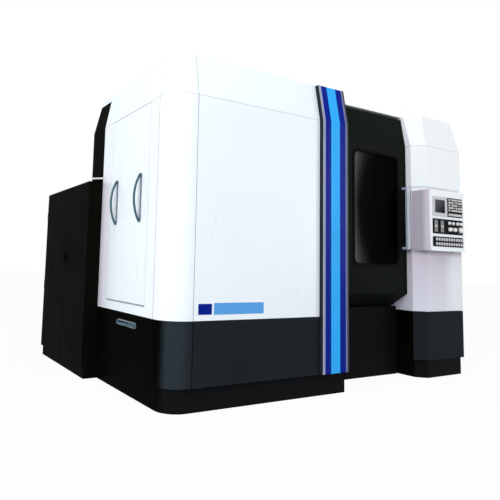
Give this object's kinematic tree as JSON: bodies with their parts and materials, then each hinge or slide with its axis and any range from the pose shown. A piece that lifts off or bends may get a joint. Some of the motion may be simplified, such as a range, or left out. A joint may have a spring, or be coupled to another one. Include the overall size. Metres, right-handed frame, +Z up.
{
  "type": "gear hobbing machine",
  "caption": "Enclosed gear hobbing machine with sliding door, hob head on a column, rotary work table, tailstock, operation box and rear electrical cabinet.",
  "frame": {"origin": "on the floor, under the middle of the machine's bounding box", "axes": "+X to the right along the machine's front, +Y from the front to the rear, +Z up"},
  "size_m": [3.481, 2.7135, 2.509],
  "materials": {
    "white_paint": "semi-gloss",
    "charcoal_paint": "semi-gloss",
    "black_paint": "satin",
    "stripe_paint": "semi-gloss",
    "console_paint": "semi-gloss",
    "window_glass": "tinted",
    "gasket_rubber": "matte",
    "handle_metal": "satin",
    "frame_steel": "matte",
    "casting_paint": "painted",
    "ground_steel": "ground",
    "tool_steel": "dark",
    "liner_steel": "brushed",
    "motor_paint": "matte",
    "display_plastic": "matte",
    "screen_glass": "gloss",
    "panel_plastic": "matte",
    "key_plastic": "matte",
    "stop_plastic": "gloss",
    "drive_plastic": "matte",
    "lamp_cover": "diffuse",
    "zinc_steel": "plated"
  },
  "bodies": {
    "machine": {"base_panels": "charcoal_paint", "bed": "casting_paint", "cabinet_hinges": "black_paint", "cabinet_shell": "black_paint", "console_covers": "console_paint", "control_plates": "panel_plastic", "corner_panel": "white_paint", "counter_column": "casting_paint", "display_bezel": "display_plastic", "display_screen": "screen_glass", "door_header": "frame_steel", "drive_modules": "drive_plastic", "enclosure_frame": "frame_steel", "front_panel": "white_paint", "guide_rails": "ground_steel", "left_side_panel": "white_paint", "levelling_pads": "zinc_steel", "operation_box": "console_paint", "rear_covers": "black_paint", "right_side_panel": "white_paint", "roof_panels": "white_paint", "servo_motors": "motor_paint", "stripe_fascia": "stripe_paint", "table_housing": "casting_paint", "work_area_liner": "liner_steel", "work_light": "lamp_cover"},
    "door": {"door_panel": "black_paint", "door_window": "window_glass", "window_gasket": "gasket_rubber", "door_handle": "handle_metal", "door_rail_blocks": "zinc_steel"},
    "hatch": {"access_hatch": "white_paint", "hatch_handles": "handle_metal"},
    "side_cover": {"lower_cover": "charcoal_paint", "lower_cover_handle": "handle_metal"},
    "cabinet_front_leaf": {"cabinet_door_front": "black_paint"},
    "cabinet_rear_leaf": {"cabinet_door_rear": "black_paint"},
    "latch": {"cabinet_latch": "motor_paint"},
    "radial_slide": {"column": "casting_paint", "axial_rails": "ground_steel", "axial_motor": "motor_paint"},
    "axial_slide": {"axial_carriage": "casting_paint"},
    "head": {"swivel_head": "casting_paint"},
    "shift_slide": {"hob_slide": "casting_paint", "spindle_motor": "motor_paint"},
    "tool": {"hob": "tool_steel", "hob_arbor": "ground_steel"},
    "table": {"rotary_table": "ground_steel", "work_arbor": "ground_steel"},
    "tailstock": {"tailstock_arm": "casting_paint"},
    "centre": {"live_centre": "ground_steel"},
    "radial_drive": {"radial_screw": "ground_steel"},
    "axial_drive": {"axial_screw": "ground_steel"},
    "stop": {"stop_button": "stop_plastic"},
    "button_1": {"push_button_1": "key_plastic"},
    "button_2": {"push_button_2": "key_plastic"},
    "button_3": {"push_button_3": "key_plastic"},
    "button_4": {"push_button_4": "key_plastic"},
    "knob_1": {"override_knob_1": "key_plastic"},
    "knob_2": {"override_knob_2": "key_plastic"}
  },
  "joints": [
    {"name": "door_slide", "type": "slide", "parent": "machine", "child": "door", "axis": [-1, 0, 0], "range_m": [0, 0.94]},
    {"name": "hatch_lift", "type": "slide", "parent": "machine", "child": "hatch", "axis": [-1, 0, 0], "range_m": [0, 0.3]},
    {"name": "side_cover_lift", "type": "slide", "parent": "machine", "child": "side_cover", "axis": [-1, 0, 0], "range_m": [0, 0.3]},
    {"name": "cabinet_front_hinge", "type": "hinge", "parent": "machine", "child": "cabinet_front_leaf", "pos_m": [-1.7115, -0.00025, 0.9], "axis": [0, 0, 1], "range_deg": [0, 90]},
    {"name": "cabinet_rear_hinge", "type": "hinge", "parent": "machine", "child": "cabinet_rear_leaf", "pos_m": [-1.7115, 1.34775, 0.9], "axis": [0, 0, -1], "range_deg": [0, 110]},
    {"name": "latch_turn", "type": "hinge", "parent": "cabinet_front_leaf", "child": "latch", "pos_m": [-1.7205, 0.61575, 1.0224], "axis": [1, 0, 0], "range_deg": [0, 90]},
    {"name": "column_feed", "type": "slide", "parent": "machine", "child": "radial_slide", "axis": [1, 0, 0], "range_m": [0, 0.22]},
    {"name": "axial_feed", "type": "slide", "parent": "radial_slide", "child": "axial_slide", "axis": [0, 0, 1], "range_m": [0, 0.3]},
    {"name": "head_swivel", "type": "hinge", "parent": "axial_slide", "child": "head", "pos_m": [-0.1665, -0.47125, 1.4], "axis": [1, 0, 0], "range_deg": [-45, 45]},
    {"name": "hob_shift", "type": "slide", "parent": "head", "child": "shift_slide", "axis": [0, 1, 0], "range_m": [-0.075, 0.075]},
    {"name": "hob_spin", "type": "hinge", "parent": "shift_slide", "child": "tool", "pos_m": [0.1535, -0.47125, 1.4], "axis": [0, 1, 0], "continuous": true},
    {"name": "table_spin", "type": "hinge", "parent": "machine", "child": "table", "pos_m": [0.5535, -0.47125, 1], "axis": [0, 0, 1], "continuous": true},
    {"name": "tailstock_feed", "type": "slide", "parent": "machine", "child": "tailstock", "axis": [0, 0, 1], "range_m": [-0.33, 0]},
    {"name": "centre_spin", "type": "hinge", "parent": "tailstock", "child": "centre", "pos_m": [0.5535, -0.47125, 1.74], "axis": [0, 0, 1], "continuous": true},
    {"name": "radial_screw_turn", "type": "hinge", "parent": "machine", "child": "radial_drive", "pos_m": [-0.5965, -0.47125, 0.645], "axis": [1, 0, 0], "range_deg": [0, 7920]},
    {"name": "axial_screw_turn", "type": "hinge", "parent": "radial_slide", "child": "axial_drive", "pos_m": [-0.2265, -0.47125, 1.4], "axis": [0, 0, 1], "range_deg": [0, 10800]},
    {"name": "stop_press", "type": "slide", "parent": "machine", "child": "stop", "axis": [0, 1, 0], "range_m": [0, 0.006], "stiffness_N_per_m": 900},
    {"name": "button_1_press", "type": "slide", "parent": "machine", "child": "button_1", "axis": [0, 1, 0], "range_m": [0, 0.004], "stiffness_N_per_m": 600},
    {"name": "button_2_press", "type": "slide", "parent": "machine", "child": "button_2", "axis": [0, 1, 0], "range_m": [0, 0.004], "stiffness_N_per_m": 600},
    {"name": "button_3_press", "type": "slide", "parent": "machine", "child": "button_3", "axis": [0, 1, 0], "range_m": [0, 0.004], "stiffness_N_per_m": 600},
    {"name": "button_4_press", "type": "slide", "parent": "machine", "child": "button_4", "axis": [0, 1, 0], "range_m": [0, 0.004], "stiffness_N_per_m": 600},
    {"name": "knob_1_turn", "type": "hinge", "parent": "machine", "child": "knob_1", "pos_m": [1.40938, -1.32925, 1.39133], "axis": [0, 1, 0], "range_deg": [-135, 135]},
    {"name": "knob_2_turn", "type": "hinge", "parent": "machine", "child": "knob_2", "pos_m": [1.48198, -1.32925, 1.39133], "axis": [0, 1, 0], "range_deg": [-135, 135]}
  ],
  "couplings": [
    {"joint": "radial_screw_turn", "follows": "column_feed", "rad_per_m": 628.32},
    {"joint": "axial_screw_turn", "follows": "axial_feed", "rad_per_m": 628.32}
  ]
}
